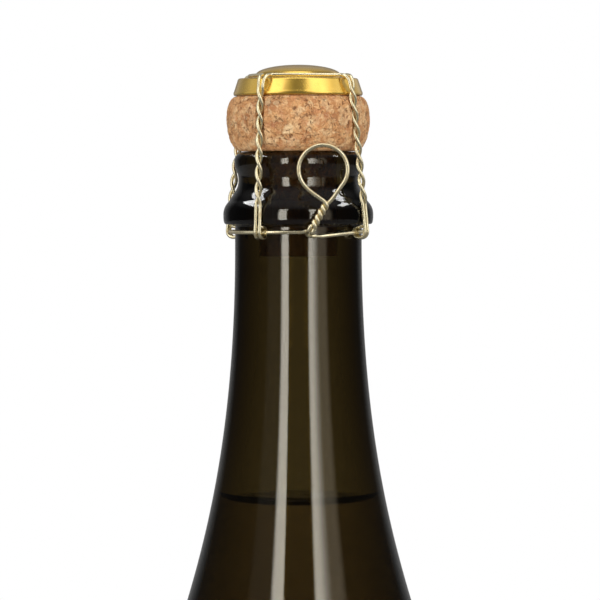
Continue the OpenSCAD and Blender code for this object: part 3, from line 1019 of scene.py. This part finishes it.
    def build(self) -> None:
        """Makes the legs, the belt and the closing twist, hangs the legs and the belt on the cage, and
        bakes the twist's place into its mesh.
        """
        metal = self.metal.material()
        for place, turn in zip(LegPlace, self.turns()):
            leg = piece_from_grid("wire_" + place.node, tube(self.leg(turn), self.strand_r,
                                                             self.sides))
            dress(leg, metal, "wire", "cage", place.node)
        belt = piece_from_grid("wire_belt", tube(self.belt(), self.belt_r, self.sides))
        dress(belt, metal, "wire", "cage", "belt_wire")
        twist = piece_from_grid("wire_twist", tube(self.closing_twist(), self.belt_r, self.sides))
        dress(twist, metal, "wire", "", "twist_stub", "twist_loop")
        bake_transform(twist)


@dataclass
class CapPlaque:
    """The stamped gold plaque on the cork: rim, waist, shelf and domed centre."""

    cage: WireCage
    rim_r: float = 14.7
    rim_low: float = 12.7
    shelf: float = 16.6
    waist_r: float = 13.65
    dome_r: float = 10.3
    dome_h: float = 3.1
    metal_t: float = 0.3
    dent: float = 0.22
    segments: int = 256
    lacquer: GildedTin = field(default_factory=GildedTin)

    def face(self, inward: float) -> np.ndarray:
        """Radius and rise of the face from the dome's middle to the rim, drawn in by inward."""
        top, dome, waist, shelf = self.shelf + self.dome_h, self.dome_r, self.waist_r, self.shelf
        i = inward
        foot = [dome - 0.9 - 0.7 * i, shelf + 0.4 * self.dome_h - 0.6 * i]
        valley = [dome + 0.3 - i, shelf - i]
        edge = [waist - 0.5 - 0.4 * i, shelf - i]
        brow = [waist + 0.05 - i, shelf - 0.5 - i]
        flare = [self.rim_r - 0.2 - i, self.rim_low + 1.0]
        return np.concatenate([
            [[0, top - i]],
            bend([0, top - i], [5, top - i], [8.6, shelf + 0.72 * self.dome_h - i], foot, 26),
            bend(foot, [dome - 0.35 - i, shelf + 0.18 * self.dome_h - 0.8 * i],
                 [dome - 0.2 - i, shelf - i], valley, 10),
            line(valley, edge, 8),
            bend(edge, [waist - 0.2 - 0.7 * i, shelf - i], [waist - i, shelf - 0.2 - i], brow, 8),
            line(brow, flare, 14),
            bend(flare, [self.rim_r + 0.03 - i, self.rim_low + 0.6],
                 [self.rim_r - i, self.rim_low + 0.25], [self.rim_r - 0.2 - i, self.rim_low], 8)])

    def pressed(self, grid: np.ndarray) -> np.ndarray:
        """Presses the metal in where the legs cross its edge, and ruffles it beside them.

        The push is inwards: a bell curve of the way round to the nearest leg, times a bell curve of
        the height below the shelf, less two weaker bells to the sides.

        Args:
            grid: Points of the plaque.

        Returns:
            The pressed points.
        """
        x, y, rise = grid[..., 0], grid[..., 1], grid[..., 2] - LIP_Z
        radius = np.hypot(x, y)
        turn = np.degrees(np.arctan2(x, -y))
        tops = np.array([leg + self.cage.top_turn(leg) for leg in self.cage.turns()])
        off = np.abs((turn[..., None] - tops + 180) % 360 - 180).min(-1)
        way = np.radians(off) * np.maximum(radius, 1e-6)
        near = np.exp(-(way / 0.9) ** 2)
        beside = np.exp(-((way - 2.1) / 0.8) ** 2)
        high = np.exp(-((rise - self.shelf + 0.9) / 1.3) ** 2) * (radius > self.dome_r)
        push = self.dent * (near - 0.3 * beside) * high
        wobble = 0.05 * np.sin(np.radians(turn * 3 + 40)) * np.clip((self.shelf - rise) / 3, 0, 1)
        factor = 1 - (push + np.maximum(wobble, 0)) / np.maximum(radius, 1)
        return np.stack([x * factor, y * factor, grid[..., 2]], -1)

    def build(self) -> None:
        """Makes the plaque, and hangs it on the cage."""
        outline = np.concatenate([self.face(0), self.face(self.metal_t)[::-1]]) + [0, LIP_Z]
        grid = self.pressed(revolve(outline, self.segments))
        plaque = piece_from_grid("gold_plaque", grid)
        dress(plaque, self.lacquer.material(), "plaque", "cage", "cap_plaque")


@dataclass
class Stopper:
    """The cork: agglomerated head and shank, and two discs of natural cork below."""

    cage: WireCage
    plaque: CapPlaque
    head_r: float = 16.3
    head_top: float = 16.25
    seat: float = 0.1
    shank_r: float = 8.85
    shank_l: float = 23.6
    disc_t: float = 5.5
    granule: float = 2.0
    columns: int = 360
    seed: int = 11
    pressed: AgglomeratedCork = field(default_factory=AgglomeratedCork)
    natural: NaturalCork = field(default_factory=NaturalCork)

    def outline(self) -> np.ndarray:
        """Radius and rise of the cork from the middle of its top down to its upper disc."""
        tin, waist, rim = self.plaque.metal_t, self.plaque.waist_r, self.plaque.rim_r
        low, head = self.plaque.rim_low, self.head_r
        shelf = [waist - tin - 0.6, self.head_top]
        brow = [waist - tin - 0.05, self.head_top - 0.5]
        lap = [rim - tin - 0.5, low + 0.3]
        under = [rim - tin - 0.45, low - 0.15]
        end = 2 * self.disc_t - self.shank_l
        return np.concatenate([
            [[0, self.head_top]], line([0, self.head_top], shelf, 12),
            bend(shelf, [waist - tin - 0.2, self.head_top],
                 [waist - tin - 0.1, self.head_top - 0.2], brow, 4),
            line(brow, lap, 8), line(lap, under, 2),
            bend(under, [rim + 0.7, low - 0.2], [head, low - 2.1], [head, 7.4], 46),
            bend([head, 7.4], [head, 3.8], [head - 1.1, self.seat + 0.1],
                 [head - 3.4, self.seat], 66),
            line([head - 3.4, self.seat], [self.shank_r, self.seat], 10),
            line([self.shank_r, self.seat], [self.shank_r, end], 34),
            line([self.shank_r, end], [0, end], 4)])

    def relief(self, grid: np.ndarray) -> tuple[np.ndarray, dict[str, np.ndarray]]:
        """Granular face of the cork, with the grooves that the legs press into it.

        A point moves inwards at the seams between granules, and each granule stands at a height of
        its own. In a groove the radius can't be more than the leg's line less its half width.

        Args:
            grid: Smooth points of the cork.

        Returns:
            The moved points, and each point's granule tone and seam distance.
        """
        rng = np.random.default_rng(self.seed)
        low, high = np.array([-17.5, -17.5, 284.0]), np.array([17.5, 17.5, 318.0])
        count = int(np.prod((high - low) / self.granule) * 1.15)
        seeds = rng.uniform(low, high, (count, 3))
        keep = (np.hypot(seeds[:, 0], seeds[:, 1]) > 5.5) & (seeds[:, 2] < 315)
        seeds = seeds[keep]
        tone, stand = rng.uniform(0, 1, len(seeds)), rng.uniform(-1, 1, len(seeds))
        flat = grid.reshape(-1, 3) * [1, 1, 1.25]
        flat = flat + 0.22 * np.sin(flat[:, [1, 2, 0]] * 3.1 + 1.0) * np.cos(flat[:, [2, 0, 1]] * 4.3)
        nearest, gap = cells(flat, seeds * [1, 1, 1.25])
        edge = np.exp(-(gap / 0.28) ** 2)
        depth = 0.05 + 0.05 * stand[nearest] * (1 - edge) + 0.10 * edge

        x, y, rise = grid[..., 0], grid[..., 1], grid[..., 2] - LIP_Z
        radius, turn = np.hypot(x, y), np.degrees(np.arctan2(x, -y))
        head = np.clip((rise - self.seat - 0.05) / 1.2, 0, 1) * (rise < self.plaque.rim_low - 0.25)
        amount = np.where(head > 0, head, np.where(rise < self.seat, 0.35, 0.0))
        amount = amount * np.clip((radius - 2) / 4, 0, 1)
        moved = radius - amount * np.maximum(depth.reshape(radius.shape), 0)
        for leg in self.cage.turns():
            off = np.radians((turn - self.cage.leg_turn_at(leg, rise) + 180) % 360 - 180)
            room = self.cage.pair_half + self.cage.strand_r + 0.10
            centre = self.cage.leg_radius(rise)
            side = np.clip(centre * np.sin(off) / room, -1, 1)
            floor = centre * np.cos(off) - room * np.sqrt(1 - side ** 2)
            floor = np.where((np.abs(off) < 0.3) & (np.abs(side) < 1), floor, 99.0)
            bulge = 0.18 * np.exp(-((np.abs(centre * np.sin(off)) - room - 0.4) / 0.5) ** 2)
            bulge = bulge * (np.abs(off) < 0.3) * head * (rise < 10) * (radius > self.head_r - 1.5)
            moved = softly_lower(moved + np.minimum(bulge, self.head_r - moved), floor, 0.05)
        factor = (moved / np.maximum(radius, 1e-6))
        factor = np.where(radius > 0.5, factor, 1.0)
        points = np.stack([x * factor, y * factor, grid[..., 2]], -1)
        return points, {"granule": tone[nearest], "seam": gap}

    def disc_outline(self, low: float) -> np.ndarray:
        """A disc with slightly rounded edges, its underside at the rise low."""
        r, high = self.shank_r, low + self.disc_t
        return np.concatenate([
            [[0, high - 0.01]], line([0, high - 0.01], [r - 0.12, high - 0.01], 8),
            bend([r - 0.12, high - 0.01], [r, high - 0.01], [r, high - 0.06], [r, high - 0.2], 4),
            line([r, high - 0.2], [r, low + 0.35], 10),
            bend([r, low + 0.35], [r, low + 0.1], [r - 0.1, low], [r - 0.35, low], 5),
            line([r - 0.35, low], [0, low], 8)]) + [0, LIP_Z]

    def build(self) -> None:
        """Makes the cork and its discs, and hangs them on the cork's body."""
        grid = self.plaque.pressed(revolve(self.outline() + [0, LIP_Z], self.columns))
        grid, values = self.relief(grid)
        body = piece_from_grid("cork_stopper", grid, values=values, sharp_deg=60)
        dress(body, self.pressed.material(), "cork", "cork", "cork_body")
        whole = self.natural.material()
        for name, low in (("upper", self.disc_t - self.shank_l), ("lower", -self.shank_l)):
            disc = piece_from_grid("disc_" + name, revolve(self.disc_outline(low), 128))
            dress(disc, whole, "natural_cork", "cork", "cork_disc_" + name)


class Lights(Enum):
    """What a lamp lights: dark glass needs narrow bright lamps, metal and cork broad ones."""

    GLASS = "glass"
    METAL = "metal"
    SOLIDS = "solids"

    @staticmethod
    def of(name: str) -> "Lights":
        """Kind of lamp that lights a piece, by the piece's name."""
        if name in ("glass_shell", "wine_fill"):
            return Lights.GLASS
        return Lights.METAL if name.startswith(("wire_", "gold_")) else Lights.SOLIDS


@dataclass(frozen=True)
class Softbox:
    """One studio lamp: where it stands as seen from the finish, its size and its brightness.

    The fades are the shares of its width and height over which it dims towards its left, right,
    lower and upper edges.
    """

    lights: Lights
    turn: float
    elevation: float
    width: float
    height: float
    radiance: float
    distance: float = 1.4
    fades: tuple[float, float, float, float] = (0.25, 0.25, 0.25, 0.25)
    tint: Colour = (1.0, 1.0, 1.0, 1.0)

    def build(self, aim: Vector, receivers: dict[Lights, bpy.types.Collection]) -> None:
        """Makes the lamp, hidden from the camera and turned to face the aim.

        Args:
            aim: Point that it faces.
            receivers: The pieces that each kind of lamp lights.
        """
        a, e = math.radians(self.turn), math.radians(self.elevation)
        towards = Vector((math.sin(a) * math.cos(e), -math.cos(a) * math.cos(e), math.sin(e)))
        data = bpy.data.lights.new("softbox", "AREA")
        data.shape = "RECTANGLE"
        data.size, data.size_y = self.width, self.height
        data.energy = self.radiance * math.pi * self.width * self.height
        graph = Graph(data)
        at = graph.node("NewGeometry").outputs["Parametric"]
        across_it = graph.node("SeparateXYZ", {0: at}).outputs
        left, right, low, high = self.fades
        level = graph.maths("MULTIPLY", graph.between(across_it["X"], 0.0, left),
                            graph.between(across_it["X"], 1.0 - right, 1.0, 1.0, 0.0))
        rows = graph.maths("MULTIPLY", graph.between(across_it["Y"], 0.0, low),
                           graph.between(across_it["Y"], 1.0 - high, 1.0, 1.0, 0.0))
        shine = graph.node("Emission", {"Color": self.tint,
                                        "Strength": graph.maths("MULTIPLY", level, rows)})
        graph.node("OutputLight", {"Surface": shine.outputs[0]})
        lamp = bpy.data.objects.new("softbox", data)
        bpy.context.scene.collection.objects.link(lamp)
        lamp.location = aim + towards * self.distance
        lamp.rotation_euler = towards.to_track_quat("Z", "Y").to_euler()
        lamp.visible_camera = False
        lamp.light_linking.receiver_collection = receivers[self.lights]


@dataclass
class Studio:
    """Camera, lamps, white background and pale floor."""

    camera_at: tuple[float, float, float] = (0.00034, -1.0, 0.2918)
    tilt_deg: float = 1.455
    roll_deg: float = 0.134
    lens_mm: float = 264.6
    lamps: tuple[Softbox, ...] = (
        Softbox(Lights.GLASS, -24.7, 4, 0.41, 1.9, 8.2, 1.4, (0.35, 0.15, 0.2, 0.15), WARM),
        Softbox(Lights.GLASS, 27.0, 4, 0.54, 1.9, 7.4, 1.4, (0.18, 0.68, 0.2, 0.15), WARM),
        Softbox(Lights.GLASS, 43.0, 4, 0.64, 1.9, 1.1, 1.4, (0.2, 0.35, 0.2, 0.15), AMBER),
        Softbox(Lights.GLASS, -42.0, 4, 0.9, 1.9, 0.14, 1.4, (0.2, 0.2, 0.2, 0.15), WARM),
        Softbox(Lights.GLASS, -104, 47, 1.15, 0.28, 10.0, 1.3, fades=(0.1, 0.1, 0.1, 0.1)),
        Softbox(Lights.GLASS, 109, 46, 0.85, 0.24, 10.0, 1.3, fades=(0.1, 0.1, 0.1, 0.1)),
        Softbox(Lights.METAL, -47, 22, 1.35, 2.2, 1.7, 1.5, fades=(0.30, 0.22, 0.15, 0.15)),
        Softbox(Lights.METAL, 46, 22, 1.45, 2.2, 1.65, 1.5, fades=(0.20, 0.40, 0.15, 0.15)),
        Softbox(Lights.METAL, -92, 15, 1.6, 1.8, 0.62, 1.5, fades=(0.4, 0.4, 0.2, 0.2)),
        Softbox(Lights.METAL, 88, 15, 1.6, 1.8, 0.95, 1.5, fades=(0.4, 0.4, 0.2, 0.2)),
        Softbox(Lights.METAL, 0, 74, 1.4, 1.1, 1.5, 1.4),
        Softbox(Lights.METAL, 180, 45, 2.0, 1.3, 0.22, 1.4),
        Softbox(Lights.METAL, -135, 15, 1.4, 1.6, 0.26, 1.5),
        Softbox(Lights.METAL, 135, 15, 1.4, 1.6, 0.45, 1.5),
        Softbox(Lights.METAL, 0, 5, 1.2, 1.6, 0.08, 1.5, fades=(0.1, 0.1, 0.1, 0.1)),
        Softbox(Lights.SOLIDS, -42, 14, 0.75, 1.2, 3.85, 1.5),
        Softbox(Lights.SOLIDS, 46, 14, 0.95, 1.2, 3.2, 1.5),
        Softbox(Lights.SOLIDS, 0, 68, 1.1, 1.0, 2.5, 1.4),
        Softbox(Lights.SOLIDS, 0, 5, 2.8, 1.6, 0.15, 1.5, fades=(0.1, 0.1, 0.1, 0.1)),
    )
    floor: PaleFloor = field(default_factory=PaleFloor)

    def place_camera(self) -> None:
        """Level with the finish, turned down a little and rolled by a fraction of a degree."""
        data = bpy.data.cameras.new("camera")
        data.lens, data.sensor_width = self.lens_mm, 36.0
        data.clip_start, data.clip_end = 0.05, 20.0
        camera = bpy.data.objects.new("camera", data)
        bpy.context.scene.collection.objects.link(camera)
        pitch = Matrix.Rotation(math.radians(90 - self.tilt_deg), 4, "X")
        roll = Matrix.Rotation(math.radians(-self.roll_deg), 4, "Z")
        camera.matrix_world = Matrix.Translation(self.camera_at) @ pitch @ roll
        bpy.context.scene.camera = camera

    def paint_world(self) -> None:
        """White where it is seen, and for lighting dark in front, paler behind and overhead."""
        world = bpy.data.worlds.new("studio_world")
        bpy.context.scene.world = world
        graph = Graph(world)
        way = graph.node("SeparateXYZ", {0: graph.node("TexCoord").outputs["Generated"]}).outputs
        behind = graph.between(way["Y"], 0.55, 1.0, 0.0, 0.24)
        above = graph.between(way["Z"], 0.3, 0.95, 0.0, 0.30)
        glow = graph.maths("MAXIMUM", graph.maths("MAXIMUM", behind, above), 0.035)
        fill = graph.between(way["Z"], -0.9, 0.9, 0.08, 0.68)
        path = graph.node("LightPath").outputs
        scattered = graph.maths("MINIMUM", path["Diffuse Depth"], 1.0)
        through = graph.maths("SUBTRACT", path["Is Transmission Ray"], scattered)
        seen = graph.maths("MAXIMUM", path["Is Camera Ray"], graph.maths("MAXIMUM", through, 0.0))
        soft = graph.node("Mix", {0: scattered, 2: glow, 3: fill}, data_type="FLOAT").outputs[0]
        level = graph.node("Mix", {0: seen, 2: soft, 3: 1.0}, data_type="FLOAT").outputs[0]
        shader = graph.node("Background", {"Color": (1, 1, 1, 1), "Strength": level})
        graph.node("OutputWorld", {"Surface": shader.outputs[0]})

    def lay_floor(self) -> None:
        """A round floor under the bottle, wide enough for every view."""
        radii = np.concatenate([[0], np.geomspace(0.05, 1.9, 16)]) / MM
        outline = np.stack([radii, np.zeros_like(radii)], -1)
        floor = piece_from_grid("studio_floor", revolve(outline, 96))
        floor.data.materials.append(self.floor.material())
        if floor.data.polygons[0].normal.z < 0:
            floor.data.flip_normals()
        floor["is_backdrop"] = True

    def build(self) -> None:
        """Sets up the camera, the world, the lamps and the floor."""
        self.place_camera()
        self.paint_world()
        self.lay_floor()
        receivers = {kind: bpy.data.collections.new(kind.value + "_lit") for kind in Lights}
        for shown in [*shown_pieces(), bpy.data.objects["studio_floor"]]:
            receivers[Lights.of(shown.name)].objects.link(shown)
        for lamp in self.lamps:
            lamp.build(Vector((0, 0, 0.27)), receivers)
        bpy.context.scene.view_settings.view_transform = "Standard"


def main() -> None:
    """Builds the sub-assemblies in the order in which a cellar puts them together."""
    logging.basicConfig(level=logging.INFO, format="%(name)s: %(message)s")
    cage = WireCage()
    plaque = CapPlaque(cage)
    Bottle().build()
    Stopper(cage, plaque).build()
    plaque.build()
    cage.build()
    Studio().build()


if __name__ == "__main__":
    main()
